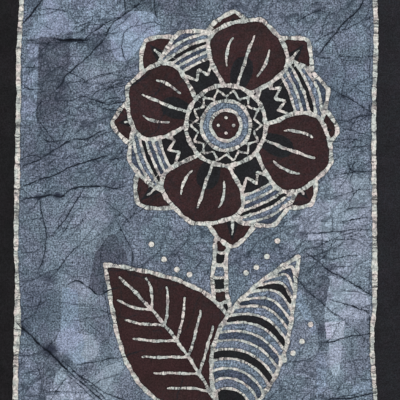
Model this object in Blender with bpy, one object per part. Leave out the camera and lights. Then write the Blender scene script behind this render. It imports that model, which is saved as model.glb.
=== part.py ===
"""Batik wall hanging: one dyed cotton cloth with a turned hem on all four edges.

Units are metres. The cloth hangs in the XZ plane with +Z up, and its face looks along -Y.
The origin is the middle of the top edge, halfway through the hem, where a wall or a rail holds it.
"""

import math

import bpy

WIDTH = 0.510
HEIGHT = 0.720

# Cotton sheet, and the hem whose three layers are turned to the back.
CLOTH_THICKNESS = 0.0012
HEM_THICKNESS = 0.0024
HEM_WIDTH = 0.009
HEM_STEP = 0.0015

# Cells of the sheet between the hems.
CELLS_ACROSS = 30
CELLS_DOWN = 40

# The sides draw in a little below the held edge, and the lower hem hangs lowest in its middle.
WAIST = 0.0018
HEM_SAG = 0.0022

# The lower corners curl forward over this much of the width and of the height.
CORNER_CURL = 0.0050
CURL_ACROSS = 0.075
CURL_UP = 0.130

# Soft upright folds, all standing forward, because the troughs between them lie against the wall.
# Columns: place across the width, half width, how far it stands forward at the lower hem, sideways
# lean over the height, and where it starts as a share of the height.
FOLDS = (
    dict(place=-0.206, half_width=0.044, forward=0.0060, lean=0.016, starts=0.10),
    dict(place=-0.092, half_width=0.052, forward=0.0038, lean=-0.012, starts=0.28),
    dict(place=0.016, half_width=0.060, forward=0.0082, lean=0.026, starts=0.07),
    dict(place=0.146, half_width=0.042, forward=0.0046, lean=-0.012, starts=0.22),
    dict(place=0.224, half_width=0.036, forward=0.0064, lean=-0.004, starts=0.12),
)

CLOTH_COLOUR = (0.150, 0.190, 0.270, 1.0)
CLOTH_ROUGHNESS = 0.88


def smooth_step(value, low, high):
    """0 up to low, 1 from high, and an even S curve between them."""
    share = min(1.0, max(0.0, (value - low) / (high - low)))
    return share * share * (3.0 - 2.0 * share)


def fold_depth(across, down):
    """How far the face stands forward of its plane, at a place on the flat cut."""
    share = down / HEIGHT
    forward = 0.0
    for fold in FOLDS:
        middle = fold["place"] + fold["lean"] * share
        bell = math.exp(-(((across - middle) / fold["half_width"]) ** 2))
        forward += fold["forward"] * bell * smooth_step(share, fold["starts"], 1.0)
    side = smooth_step(abs(across), WIDTH / 2 - CURL_ACROSS, WIDTH / 2)
    low = smooth_step(down, HEIGHT - CURL_UP, HEIGHT)
    return forward + CORNER_CURL * side * low


def hang(across, down):
    """The point of the cloth's face at a place on the flat cut."""
    share = down / HEIGHT
    drawn_in = 1.0 - WAIST / (WIDTH / 2) * math.sin(math.pi * share)
    sag = HEM_SAG * share * math.cos(math.pi * across / WIDTH)
    return (across * drawn_in, -HEM_THICKNESS / 2 - fold_depth(across, down), -down - sag)


def stations(length, cells):
    """Places along one side of the cut: the hem at each end, its step, and even cells between."""
    first = HEM_WIDTH + HEM_STEP
    inner = [first + (length - 2 * first) * i / cells for i in range(cells + 1)]
    return [0.0, HEM_WIDTH, *inner, length - HEM_WIDTH, length]


def in_hem(place, length):
    """True where the three layers of the hem lie."""
    slack = HEM_STEP / 2
    return place < HEM_WIDTH + slack or place > length - HEM_WIDTH - slack


def cloth_material():
    """Plain dyed cotton in the colour of the blue ground."""
    material = bpy.data.materials.new("batik_cotton")
    material.use_nodes = True
    shader = material.node_tree.nodes["Principled BSDF"]
    shader.inputs["Base Color"].default_value = CLOTH_COLOUR
    shader.inputs["Roughness"].default_value = CLOTH_ROUGHNESS
    shader.inputs["Metallic"].default_value = 0.0
    return material


def make_cloth():
    """The face as a grid of quads, thickened backwards by a Solidify that is thicker in the hem."""
    columns = stations(WIDTH, CELLS_ACROSS)
    rows = stations(HEIGHT, CELLS_DOWN)
    points = [hang(x - WIDTH / 2, down) for down in rows for x in columns]
    wide = len(columns)
    faces = [
        (r * wide + c, (r + 1) * wide + c, (r + 1) * wide + c + 1, r * wide + c + 1)
        for r in range(len(rows) - 1)
        for c in range(wide - 1)
    ]
    mesh = bpy.data.meshes.new("batik_cloth")
    mesh.from_pydata(points, [], faces)
    mesh.shade_smooth()
    cloth = bpy.data.objects.new("batik_cloth", mesh)
    bpy.context.scene.collection.objects.link(cloth)
    mesh.materials.append(cloth_material())

    hem = cloth.vertex_groups.new(name="hem")
    hem_points = [
        r * wide + c
        for r, down in enumerate(rows)
        for c, x in enumerate(columns)
        if in_hem(down, HEIGHT) or in_hem(x, WIDTH)
    ]
    hem.add(hem_points, 1.0, "REPLACE")

    thicken = cloth.modifiers.new("layers", "SOLIDIFY")
    thicken.thickness = HEM_THICKNESS
    thicken.offset = -1.0
    thicken.vertex_group = hem.name
    thicken.thickness_vertex_group = CLOTH_THICKNESS / HEM_THICKNESS
    return cloth


def main():
    for old in list(bpy.data.objects):
        bpy.data.objects.remove(old)
    make_cloth()


main()
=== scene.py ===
"""Looks of the batik wall hanging: the dyed sheet with its drawn wax lines, and the hem's stitches.

The drawing is laid out in millimetres on the flat cut: across from the cloth's middle, down from its
top edge. The mesh follows the drawn lines, so each line and each colour has a clean edge at any size.
"""

import math

import bpy
import numpy as np
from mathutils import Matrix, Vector
from mathutils.geometry import delaunay_2d_cdt
from mathutils.kdtree import KDTree


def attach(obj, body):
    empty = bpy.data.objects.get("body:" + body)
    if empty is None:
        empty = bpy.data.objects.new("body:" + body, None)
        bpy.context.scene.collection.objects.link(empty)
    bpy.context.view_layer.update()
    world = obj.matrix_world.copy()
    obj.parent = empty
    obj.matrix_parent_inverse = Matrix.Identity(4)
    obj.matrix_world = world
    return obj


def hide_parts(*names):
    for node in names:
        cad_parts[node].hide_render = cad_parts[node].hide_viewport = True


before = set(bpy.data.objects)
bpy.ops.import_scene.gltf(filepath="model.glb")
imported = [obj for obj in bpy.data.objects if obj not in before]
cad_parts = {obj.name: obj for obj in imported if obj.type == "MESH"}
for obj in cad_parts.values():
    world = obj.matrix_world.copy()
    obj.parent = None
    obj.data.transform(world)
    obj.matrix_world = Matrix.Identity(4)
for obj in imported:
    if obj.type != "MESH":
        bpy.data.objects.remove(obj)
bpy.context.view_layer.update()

MM = 0.001

# The cut, as in the part's source.
WIDTH = 510.0
HEIGHT = 720.0
SHEET = 1.2
HEM = 2.4
HEM_WIDTH = 9.0
HEM_STEP = 1.0
WAIST = 1.8
HEM_SAG = 2.2
CORNER_CURL = 5.0
CURL_ACROSS = 75.0
CURL_UP = 130.0
FOLDS = (
    dict(place=-206, half_width=44, forward=6.0, lean=16, starts=0.10),
    dict(place=-92, half_width=52, forward=3.8, lean=-12, starts=0.28),
    dict(place=16, half_width=60, forward=8.2, lean=26, starts=0.07),
    dict(place=146, half_width=42, forward=4.6, lean=-12, starts=0.22),
    dict(place=224, half_width=36, forward=6.4, lean=-4, starts=0.12),
)

# Mesh of the sheet: how far apart its points stand, and how far apart along drawn lines.
GRID = 3.7
STEP = 2.7
FRAME_STEP = 3.4
RIM_ANGLES = (-45, 0, 45)

# Grid points keep this share of the grid away from the points of lines.
CLEARANCE = 0.62

# Points closer than this are one point of the mesh.
MERGED = 0.02

# Low relief of the face: depths of two sets of slack waves, of the hem's puckers and of the groove
# along its stitches, and how far a crease reaches to either side of its vein.
SLACK_BROAD = 0.35
SLACK_SMALL = 0.22
PUCKER = 0.22
PUCKER_WAVE = 13.0
GROOVE = 0.3
GROOVE_HALF = 1.6
CREASE_REACH = 5.0
CREASE_HALF = 4.4

# The hem's stitches.
STITCH_INSET = 7.5
STITCH_PITCH = 3.3
STITCH_LENGTH = 2.5
STITCH_SLIP = 0.18
STITCH_RISE = 0.30
STITCH_SINK = 0.14
THREAD_RADIUS = 0.2
THREAD_SIDES = 5

# Drawn lines: half widths of an outline and of an inner line.
BOLD = 2.35
FINE = 1.4

# Scale of the weave's wave texture on places in millimetres.
WEAVE_SCALE = 0.31

# How far from a line the mesh's fields still measure it.
FIELD_REACH = 9.0

# Place along its line that marks wax without cracks across.
UNCRACKED = -100.0

# The view: how wide it is, and where its middle lies on the cloth.
VIEW_WIDTH = 480.0
VIEW_ACROSS = 4.7
VIEW_DOWN = 310.0


def srgb(red, green, blue):
    """A colour as seen on the cloth, 0 to 255, in the linear values that a shader reads."""
    seen = np.array([red, green, blue]) / 255
    return np.where(seen <= 0.04045, seen / 12.92, ((seen + 0.055) / 1.055) ** 2.4)


# The black margin, with painted light: darker at the left edge, lighter at the right, as if lit more from the
# right.
MARGIN_DIM_LEFT = srgb(27, 26, 28)
MARGIN_LIT_RIGHT = srgb(36, 35, 39)
GROUND = srgb(114, 126, 141)
PERIWINKLE = srgb(147, 161, 184)
PALE_BLUE = srgb(157, 169, 186)
MID_BLUE = srgb(134, 149, 170)
LAVENDER = srgb(182, 187, 207)
MAUVE_GREY = srgb(80, 85, 98)
TEAL_GREY = srgb(82, 95, 107)
SLATE = srgb(92, 103, 119)
MAROON = srgb(56, 37, 38)
BLACK = srgb(32, 32, 35)
BAND_BLUE = srgb(124, 136, 153)
BAND_SLATE = srgb(82, 91, 108)
CRACK_INK = srgb(33, 42, 55)
BLOT_INK = srgb(40, 44, 60)
VEIN_INK = srgb(28, 35, 46)
VEIN_HEART = srgb(12, 14, 20)
WAX_GREEN = srgb(210, 216, 211)
WAX_CREAM = srgb(234, 231, 224)
WAX_PINK = srgb(229, 218, 214)
WAX_STAIN = srgb(118, 119, 123)
WAX_CRACK = srgb(58, 58, 62)
BACK_HAZE = srgb(120, 124, 132)
THREAD_DARK = srgb(38, 38, 44)
THREAD_LIGHT = srgb(60, 60, 68)

# Shares of red, green and blue that turn a dye a little cooler or warmer, and the floor's two shades: near,
# and painted lighter far off where the lamps light it less.
COOL_TINT = np.array([0.965, 1.015, 1.0])
WARM_TINT = np.array([1.03, 0.985, 1.02])
FLOOR_NEAR = np.array([0.66, 0.65, 0.63])
FLOOR_FAR_PAINTED_LIGHTER = np.array([0.93, 0.93, 0.92])

# The two drawn border lines that cross the picture, from the top of the panel to its bottom.
LEFT_LINE = (
    (-208.5, 40), (-209.5, 70), (-213.5, 130), (-214, 165), (-213.5, 182), (-214.5, 210), (-215.5, 270),
    (-216.5, 320), (-217, 370), (-215.5, 410), (-215, 465), (-216.5, 492), (-217, 545), (-216, 620),
    (-217, 680),
)
RIGHT_LINE = (
    (214, 41), (215, 70), (216.5, 105), (216, 142), (214.5, 190), (214.5, 280), (215, 310), (215, 430),
    (211.5, 466), (212, 500), (215, 550), (213, 610), (215, 681),
)
# Where the brush swelled or thinned these lines: place down the cloth, change of width, half length.
LEFT_SWELLS = ((285, 0.25, 20), (394, -0.28, 16), (460, 0.5, 30), (540, 0.22, 20))
RIGHT_SWELLS = ((180, -0.08, 26), (315, 0.12, 14), (392, 0.28, 18), (440, -0.14, 12), (540, -0.15, 20))
# The upper and lower lines, which the picture doesn't show.
TOP_LINE = ((-208, 40), (-120, 42), (-10, 39), (110, 41.5), (214, 41))
BOTTOM_LINE = ((-217, 680), (-110, 678), (20, 681.5), (120, 679), (215, 681))

# Brush patches in the blue ground, each with a crisp edge: colour, cover from 0 to 1, outline.
PATCHES = (
    (SLATE, 0.5, (-212, 420), (-163, 416), (-160, 470), (-176, 478), (-192, 484), (-214, 470)),
    (MAUVE_GREY, 0.85, (-189, 114), (-167, 115), (-152, 120), (-151, 144), (-156, 160), (-160, 168),
     (-190, 170)),
    (MAUVE_GREY, 0.70, (-190, 170), (-160, 168), (-163, 194), (-191, 196)),
    (MAUVE_GREY, 0.50, (-191, 196), (-163, 194), (-170, 216), (-192, 218)),
    (PERIWINKLE, 0.65, (-203, 122), (-190, 122), (-191, 176), (-193, 214), (-210, 214), (-210, 184),
     (-208, 154), (-204, 142)),
    (PERIWINKLE, 0.7, (-182, 68), (-169, 68), (-163, 81), (-156, 85), (-154, 92), (-148, 95), (-144, 105),
     (-151, 110), (-168, 111), (-176, 114), (-202, 117), (-200, 107), (-196, 99), (-190, 94), (-185, 80)),
    (PERIWINKLE, 0.35, (-131, 62), (-86, 60), (-86, 87), (-103, 94), (-115, 99), (-130, 96), (-134, 76)),
    (TEAL_GREY, 0.45, (-84, 62), (-50, 60), (-44, 76), (-50, 83), (-78, 81)),
    (PERIWINKLE, 0.95, (-79, 83), (-53, 84), (-48, 90), (-42, 96), (-43, 107), (-48, 112), (-56, 119),
     (-71, 131), (-82, 143), (-96, 142), (-102, 129), (-103, 117), (-105, 105), (-94, 91)),
    (MAUVE_GREY, 0.35, (-40, 60), (40, 58), (60, 96), (10, 104), (-38, 96)),
    (MAUVE_GREY, 0.85, (-119, 356), (-98, 350), (-84, 372), (-80, 412), (-94, 414), (-117, 422), (-130, 415)),
    (PALE_BLUE, 0.35, (-134, 296), (-112, 292), (-106, 352), (-122, 374), (-140, 366)),
    (MAUVE_GREY, 0.45, (-192, 484), (-175, 474), (-168, 490), (-163, 510), (-173, 539), (-187, 539),
     (-190, 506)),
    (MID_BLUE, 1.0, (-161, 414), (-143, 417), (-140, 466), (-163, 466)),
    (SLATE, 0.38, (-128, 456), (-112, 454), (-96, 466), (-95, 494), (-106, 502), (-117, 496), (-116, 480),
     (-124, 470), (-132, 464)),
    (SLATE, 0.4, (-156, 498), (-142, 505), (-128, 501), (-130, 511), (-136, 520), (-144, 522), (-156, 515)),
    (PERIWINKLE, 0.85, (-163, 465), (-152, 462), (-142, 468), (-136, 470), (-125, 472), (-119, 479),
     (-117, 490), (-120, 497), (-132, 503), (-142, 506), (-154, 499), (-159, 492), (-168, 490),
     (-167, 472)),
    (PALE_BLUE, 1.0, (-137, 470), (-125, 472), (-119, 479), (-117, 490), (-120, 497), (-132, 503),
     (-139, 494), (-134, 482)),
    (PALE_BLUE, 0.6, (-161, 510), (-156, 516), (-141, 527), (-126, 536), (-151, 539), (-176, 538),
     (-171, 526), (-168, 516)),
    (PALE_BLUE, 0.8, (-180, 543), (-151, 540), (-132, 541), (-104, 552), (-96, 580), (-186, 584)),
    (PALE_BLUE, 0.95, (-112, 509), (-91, 502), (-88, 514), (-97, 518), (-102, 526), (-107, 535),
     (-118, 527), (-122, 522), (-114, 513)),
    (PALE_BLUE, 0.95, (140, 340), (146, 336), (162, 336), (165, 347.5), (134, 348)),
    (PALE_BLUE, 0.95, (135, 350), (163, 350), (163, 358), (135, 358)),
    (PERIWINKLE, 0.15, (172, 150), (207, 146), (209, 196), (190, 198), (170, 176)),
    (MID_BLUE, 0.25, (174, 100), (209, 84), (210, 128), (172, 130)),
    (MAUVE_GREY, 0.6, (127, 409), (150, 398), (161, 402), (161, 440), (158, 468), (147, 466), (138, 440)),
    (PALE_BLUE, 0.85, (163, 399), (188, 412), (210, 424), (211, 450), (196, 452), (178, 451), (154, 452),
     (157, 430)),
    (MID_BLUE, 0.7, (113, 398), (121, 407), (128, 423), (135, 439), (142, 455), (147, 470), (139, 470),
     (131, 453), (120, 434), (114, 418)),
    (TEAL_GREY, 0.6, (147, 467), (160, 467), (160, 490), (147, 490)),
    (PALE_BLUE, 0.88, (155, 455), (178, 453), (178, 472), (176, 478), (175, 496), (173, 512), (172, 520),
     (165, 520), (160, 509), (160, 482), (157, 469)),
    (LAVENDER, 0.8, (155, 456), (179, 454), (178, 477), (157, 475)),
    (MID_BLUE, 0.65, (144, 492), (152, 491), (157, 504), (157, 535), (145, 545)),
    (SLATE, 0.1, (180, 478), (208, 474), (209, 520), (178, 528)),
    (PERIWINKLE, 0.65, (189, 531), (209, 524), (209, 539), (185, 543)),
    (PERIWINKLE, 0.5, (-190, 610), (-150, 600), (-146, 660), (-182, 664)),
    (MAUVE_GREY, 0.5, (-142, 606), (-112, 598), (-98, 664), (-138, 668)),
    (MID_BLUE, 0.6, (150, 580), (196, 570), (200, 620), (158, 632)),
)

# Lighter and darker clouds in the ground: colour, cover at the middle, middle, half width, half height.
CLOUDS = (
    (SLATE, 0.6, -196, 74, 14, 16),
    (SLATE, 0.3, -118, 128, 18, 34),
    (SLATE, 0.5, -136, 82, 18, 18),
    (SLATE, 0.5, -202, 98, 10, 14),
    (SLATE, 0.45, -170, 298, 14, 14),
    (PALE_BLUE, 0.45, -112, 156, 26, 14),
    (MAUVE_GREY, 0.75, -174, 190, 20, 34),
    (MAUVE_GREY, 0.35, -188, 246, 26, 32),
    (PALE_BLUE, 0.30, -150, 330, 40, 44),
    (SLATE, 0.55, -190, 440, 22, 40),
    (MAUVE_GREY, 0.35, -60, 70, 60, 24),
    (SLATE, 0.68, 184, 178, 46, 40),
    (PALE_BLUE, 0.85, 192, 294, 34, 16),
    (PALE_BLUE, 0.65, 176, 322, 56, 18),
    (PALE_BLUE, 0.5, 188, 350, 24, 10),
    (PERIWINKLE, 0.25, -150, 90, 70, 40),
    (SLATE, 0.42, -150, 260, 60, 50),
    (PALE_BLUE, 0.3, -132, 232, 26, 22),
    (SLATE, 0.35, -168, 336, 18, 26),
    (PALE_BLUE, 0.5, -140, 420, 24, 20),
    (PALE_BLUE, 0.6, 188, 366, 30, 48),
    (PALE_BLUE, 0.35, 150, 470, 60, 60),
    (PALE_BLUE, 0.45, 128, 352, 24, 30),
    (MAUVE_GREY, 0.35, 122, 392, 16, 16),
    (PALE_BLUE, 0.3, -130, 500, 60, 50),
    (PERIWINKLE, 0.25, -202, 524, 14, 26),
    (PALE_BLUE, 0.6, -112, 536, 18, 16),
    (SLATE, 0.5, 80, 380, 34, 24),
    (PALE_BLUE, 0.4, 0, 640, 90, 30),
    (SLATE, 0.5, -180, 620, 40, 40),
)

# Dark dye veins where the wax cracked: half width, depth of the crease (0 if flat), then the points.
VEINS = (
    (1.4, 0.6, (-172, 116), (-160, 118), (-150, 118), (-140, 118.5), (-128, 117)),
    (1.7, 0.3, (-166, 117), (-150, 118.3), (-133, 118.3)),
    (0.5, 0.3, (-134, 117), (-126, 110), (-119, 105), (-112, 100), (-103, 95), (-91, 90), (-86, 87)),
    (0.7, 0.5, (-176, 184), (-161, 170), (-159, 162), (-149, 154), (-134, 141), (-119, 126), (-112, 119),
     (-104, 103), (-94, 93), (-85, 86), (-72, 78), (-62, 66)),
    (0.4, 0.2, (-70, 101), (-79, 103), (-87, 109), (-89, 124), (-87, 137), (-81, 149)),
    (0.5, 0.2, (-70, 101), (-63, 99), (-51, 96), (-43, 100)),
    (0.3, 0, (-90, 107), (-103, 110), (-112, 108)),
    (0.4, 0, (-72, 98), (-68, 94)),
    (0.6, 0.3, (-90, 183), (-82, 176), (-75, 170), (-68, 166), (-61, 162), (-54, 154)),
    (0.3, 0, (-115, 171), (-94, 166), (-80, 161)),
    (0.6, 0, (-92, 193), (-83, 193)),
    (0.4, 0, (-82, 73), (-73, 77), (-66, 75), (-56, 73)),
    (0.5, 0, (-86, 60), (-85, 76), (-86, 88)),
    (0.4, 0, (-50, 60), (-49, 87), (-42, 99)),
    (1.1, 0.4, (-182, 66), (-194, 82), (-205, 94), (-211, 100)),
    (0.3, 0, (-187, 98), (-175, 105)),
    (0.4, 0, (-211, 119), (-190, 118)),
    (0.3, 0, (-204, 122), (-190, 122), (-179, 122), (-159, 120.5), (-131, 121)),
    (0.4, 0, (-211, 151), (-191, 151)),
    (0.5, 0.3, (-212, 169), (-202, 176), (-194, 177), (-186, 177)),
    (0.4, 0, (-156, 170), (-142, 168), (-131, 168)),
    (0.4, 0, (-122, 164), (-114, 161), (-104, 158), (-91, 155)),
    (0.5, 0, (-168, 191), (-150, 190), (-142, 187), (-132, 186), (-127, 188), (-118, 190)),
    (0.3, 0, (-126, 186), (-119, 179), (-106, 176), (-91, 173), (-72, 170)),
    (0.6, 0, (-113, 194), (-106, 188), (-91, 187)),
    (0.4, 0, (-149, 110), (-137, 107), (-129, 100), (-112, 99)),
    (0.3, 0, (-196, 89), (-178, 86), (-168, 83), (-160, 79)),
    (0.4, 0, (-190, 232), (-178, 240), (-160, 238), (-148, 244)),
    (0.4, 0, (-212, 262), (-196, 256), (-180, 262)),
    (0.7, 0, (-210, 270), (-187, 260), (-168, 248), (-151, 238), (-132, 236), (-122, 231), (-110, 226)),
    (0.4, 0, (-192, 209), (-180, 228), (-168, 243)),
    (0.4, 0, (-154, 219), (-160, 232), (-166, 243)),
    (0.7, 0, (-126, 188), (-106, 195), (-91, 192), (-82, 190)),
    (0.5, 0, (-120, 195), (-106, 201), (-91, 204), (-82, 212)),
    (0.8, 0.3, (-211, 294), (-190, 286), (-172, 280), (-144, 267), (-119, 260), (-102, 252)),
    (0.9, 0.4, (-211, 311), (-200, 307), (-190, 306), (-172, 304), (-163, 306), (-155, 299), (-140, 294),
     (-119, 293), (-96, 296)),
    (0.5, 0.2, (-120, 294), (-108, 292), (-98, 296), (-84, 292)),
    (0.6, 0.4, (-189, 306), (-187, 322), (-183, 336), (-181, 352), (-182, 370), (-186, 384), (-192, 398)),
    (0.6, 0.3, (-134, 294), (-142, 306), (-150, 320), (-158, 332), (-172, 350)),
    (0.4, 0, (-148, 328), (-157, 344), (-164, 352)),
    (0.4, 0, (-119, 335), (-127, 346), (-138, 360), (-149, 370), (-163, 388), (-178, 406)),
    (0.3, 0, (-211, 373), (-196, 372), (-186, 366)),
    (0.3, 0, (-198, 333), (-184, 332)),
    (0.8, 0, (-156, 412), (-144, 406), (-130, 413), (-118, 423), (-106, 417), (-94, 414)),
    (0.5, 0, (-96, 334), (-84, 356), (-76, 378), (-80, 400)),
    (1.15, 0.7, (-217, 455), (-211, 461), (-202, 468), (-191, 480), (-179, 489), (-169, 499), (-159, 508),
     (-148, 519)),
    (0.7, 0.5, (-152, 515), (-141, 525), (-128, 536), (-118, 544), (-104, 558), (-88, 580)),
    (0.45, 0.4, (-160, 502), (-145, 515), (-131, 525), (-111, 538), (-101, 543), (-86, 548), (-60, 560)),
    (0.45, 0.3, (-148, 514), (-131, 528), (-114, 542), (-101, 555), (-88, 572)),
    (0.35, 0, (-160, 512), (-146, 526), (-132, 538), (-118, 552)),
    (0.6, 0, (-168, 472), (-173, 480), (-179, 487)),
    (0.5, 0.6, (-143, 506), (-131, 504), (-115, 501), (-101, 498), (-91, 497), (-76, 492), (-62, 489)),
    (0.4, 0, (-219, 495), (-205, 495), (-190, 493)),
    (0.4, 0, (-209, 518), (-200, 516), (-188, 513)),
    (0.4, 0, (-183, 539), (-165, 538), (-150, 538)),
    (0.6, 0, (-186, 532), (-186, 539)),
    (0.4, 0, (-201, 545), (-188, 543)),
    (0.4, 0, (-52, 466), (-44, 464), (-41, 467)),
    (0.9, 0.3, (204, 66), (196, 80), (187, 89), (174, 102), (164, 114), (155, 126), (146, 137)),
    (0.5, 0.2, (143, 120), (152, 115), (161, 110), (170, 104)),
    (0.7, 0.2, (143, 137), (154, 139), (163, 139.5)),
    (0.5, 0, (172, 138), (190, 138.5), (214, 138)),
    (0.4, 0, (178, 142.5), (198, 142.5)),
    (0.6, 0.3, (158, 173), (170, 180), (182, 187), (196, 195), (214, 207)),
    (0.3, 0, (187, 172), (200, 180), (212, 186)),
    (0.5, 0, (166, 213), (184, 214), (200, 209), (216, 208)),
    (0.4, 0, (150, 236), (168, 240), (186, 236), (205, 242)),
    (0.5, 0, (177, 224), (194, 228), (212, 233)),
    (0.5, 0, (175, 248), (192, 246), (212, 244)),
    (0.7, 0.3, (182, 264), (187, 274), (194, 276), (214, 275)),
    (0.5, 0, (168, 280), (180, 278), (194, 276)),
    (0.5, 0, (120, 99), (127, 92), (144, 84), (161, 84)),
    (0.6, 0.3, (104, 321), (114, 316), (125, 310)),
    (0.4, 0, (128, 349), (133, 349), (163, 348), (177, 347), (188, 345), (211, 345)),
    (0.3, 0, (133, 359), (149, 358), (160, 359)),
    (0.3, 0, (130, 367), (144, 368), (149, 365)),
    (0.4, 0, (165, 332), (165, 348)),
    (0.4, 0, (172, 326), (181, 322), (191, 319), (209, 318)),
    (0.5, 0, (174, 336), (184, 334), (194, 332), (211, 331)),
    (0.4, 0, (160, 365), (168, 360), (169, 356)),
    (0.5, 0, (162, 382), (169, 380), (177, 378), (185, 376), (196, 376)),
    (0.75, 0.4, (130, 370), (136, 375), (149, 384), (157, 391), (163, 396), (176, 402), (188, 409),
     (197, 415), (213, 425)),
    (0.5, 0, (132, 399), (141, 392), (147, 389)),
    (0.4, 0, (163, 390), (177, 389), (187, 389)),
    (0.5, 0.2, (105, 388), (111, 394), (120, 401), (127, 410), (137, 420), (152, 433), (163, 442),
     (174, 449)),
    (0.4, 0, (177, 418), (194, 420), (206, 423)),
    (0.6, 0.3, (161, 428), (171, 432), (192, 437), (198, 441), (213, 443)),
    (0.7, 0.4, (147, 479), (161, 479), (173, 476), (178, 475), (188, 472), (199, 471), (211, 469)),
    (0.4, 0, (204, 512), (214, 507)),
    (0.4, 0, (197, 524), (210, 524)),
    (0.7, 0.4, (143, 551), (161, 547), (178, 547), (197, 544), (210, 541), (219, 539)),
)

# Soft blots of dye where veins meet: strength, middle, half width, half height.
BLOTS = (
    (1.0, -190, 306, 5, 4), (1.0, -167, 304, 6, 4.5), (0.9, -176, 488, 11, 8), (0.7, -168, 498, 6, 5),
    (0.7, 127, 350, 5, 4), (0.45, 159, 394, 6, 7), (0.4, 192, 466, 4, 3), (0.6, -152, 111, 4, 3),
    (0.6, -176, 404, 8, 6), (0.5, -160, 172, 7, 8), (0.15, 192, 84, 12, 14), (0.3, 190, 275, 6, 5),
    (0.65, -157, 500, 8, 9), (0.6, 150, 466, 6, 8),
    (0.5, -118, 120, 9, 9), (0.5, -196, 72, 10, 10), (0.6, -84, 90, 6, 5), (0.5, 208, 208, 6, 6),
    (0.3, 120, 404, 8, 10), (0.5, -206, 462, 7, 6), (0.4, 178, 186, 8, 6), (0.5, -96, 290, 8, 5),
)

# Where the wax cracked little: how calm from 0 to 1, middle, half width, half height.
CALM_SPOTS = (
    (0.45, -140, 350, 72, 54), (0.85, -125, 450, 72, 60), (0.85, -50, 490, 90, 60), (0.5, 190, 160, 36, 60),
    (0.55, 185, 480, 36, 56), (0.5, -120, 152, 34, 20), (0.5, -180, 90, 26, 26), (0.4, -72, 112, 30, 30),
    (0.5, 0, 640, 160, 40),
)

# Regions of random veins: two corners, and how many start there.
VEIN_REGIONS = (
    ((-200, 66), (-100, 280), 20), ((-200, 290), (-110, 540), 22), ((160, 80), (205, 330), 15),
    ((125, 380), (205, 540), 12), ((-100, 60), (-40, 380), 10), ((-200, 560), (200, 670), 22),
    ((-60, 370), (30, 420), 5), ((50, 366), (140, 400), 5),
)
VEIN_LIMITS = ((-209, 46), (209, 674))

# Rows of wax drops: where each starts and ends, and how many drops it has.
SEED_ROWS = (
    ((-54, 362), (-8, 398), 4), ((60, 396), (98, 358), 4), ((106, 500), (138, 458), 4),
    ((84, 600), (100, 572), 3), ((-106, 648), (-46, 668), 5), ((96, 664), (160, 640), 5),
)
SEED_RADIUS = 3.3

# The flower and its stem.
FLOWER_MIDDLE = (36, 220)
FLOWER_RADIUS = 141
# Its eye, in shares of that radius: the black disc, the points of its zigzag, a blue and a dark red disc
# in it, and where the drops stand.
EYE = 0.34
TEETH_OUT = 0.305
TEETH_IN = 0.245
EYE_BLUE = 0.21
EYE_RED = 0.13
EYE_DROPS = 0.065
STEM = ((36, 320), (28, 410), (42, 500), (30, 590), (32, 681))
STEM_STEP = 3.0
STEM_HALF = 8.0


def fold_forward(across, down):
    """How far the face stands forward of its plane, at places on the flat cut."""
    share = down / HEIGHT
    forward = np.zeros(len(across))
    for fold in FOLDS:
        middle = fold["place"] + fold["lean"] * share
        bell = np.exp(-(((across - middle) / fold["half_width"]) ** 2))
        forward += fold["forward"] * bell * smooth_step(share, fold["starts"], 1.0)
    side = smooth_step(abs(across), WIDTH / 2 - CURL_ACROSS, WIDTH / 2)
    low = smooth_step(down, HEIGHT - CURL_UP, HEIGHT)
    return forward + CORNER_CURL * side * low


def smooth_step(value, low, high):
    """0 up to low, 1 from high, and an even S curve between them."""
    share = np.clip((value - low) / (high - low), 0.0, 1.0)
    return share * share * (3.0 - 2.0 * share)


def ripple(place, wave, seed):
    """Smooth uneven noise from about -1 to 1 along a line, from three sines of unrelated length."""
    phase = np.random.default_rng(seed).uniform(0, 2 * math.pi, 3)
    turn = 2 * math.pi * np.asarray(place, float) / wave
    return (
        0.55 * np.sin(turn + phase[0])
        + 0.30 * np.sin(turn * 2.37 + phase[1])
        + 0.20 * np.sin(turn * 5.13 + phase[2])
    )


def resampled(points, step, closed):
    """Even points along a polyline."""
    points = np.asarray(points, float)
    if closed:
        points = np.vstack([points, points[:1]])
    lengths = np.hypot(*np.diff(points, axis=0).T)
    place = np.concatenate([[0], np.cumsum(lengths)])
    count = max(2, int(round(place[-1] / step)) + 1)
    even = np.linspace(0, place[-1], count)
    path = np.column_stack([np.interp(even, place, points[:, k]) for k in (0, 1)])
    return path[:-1] if closed else path


def curved(points, closed=False, parts=12):
    """A Catmull-Rom curve through the points."""
    points = np.asarray(points, float)
    if closed:
        padded = np.vstack([points[-1:], points, points[:2]])
    else:
        padded = np.vstack([2 * points[0] - points[1], points, 2 * points[-1] - points[-2]])
    share = np.linspace(0, 1, parts, endpoint=False)[:, None]
    pieces = []
    for p0, p1, p2, p3 in zip(padded, padded[1:], padded[2:], padded[3:]):
        pieces.append(
            p1
            + 0.5 * share * (p2 - p0)
            + share**2 * (p0 - 2.5 * p1 + 2 * p2 - 0.5 * p3)
            + share**3 * (1.5 * p1 - 0.5 * p0 - 1.5 * p2 + 0.5 * p3)
        )
    path = np.vstack(pieces)
    return path if closed else np.vstack([path, points[-1]])


def shaky(path, amount, wave, seed):
    """The path drawn by hand: each point slips a little to either side."""
    ahead = np.roll(path, -1, axis=0) - np.roll(path, 1, axis=0)
    side = np.column_stack([-ahead[:, 1], ahead[:, 0]])
    side /= np.maximum(np.hypot(*side.T), 1e-6)[:, None]
    place = np.arange(len(path)) * STEP
    return path + side * (amount * ripple(place, wave, seed))[:, None]


def inside(points, loop):
    """Which points lie inside a closed loop."""
    x, y = points.T
    hit = np.zeros(len(points), bool)
    for (x0, y0), (x1, y1) in zip(loop, np.roll(loop, -1, axis=0)):
        if y0 != y1:
            hit ^= ((y0 > y) != (y1 > y)) & (x < (x1 - x0) * (y - y0) / (y1 - y0) + x0)
    return hit


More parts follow.
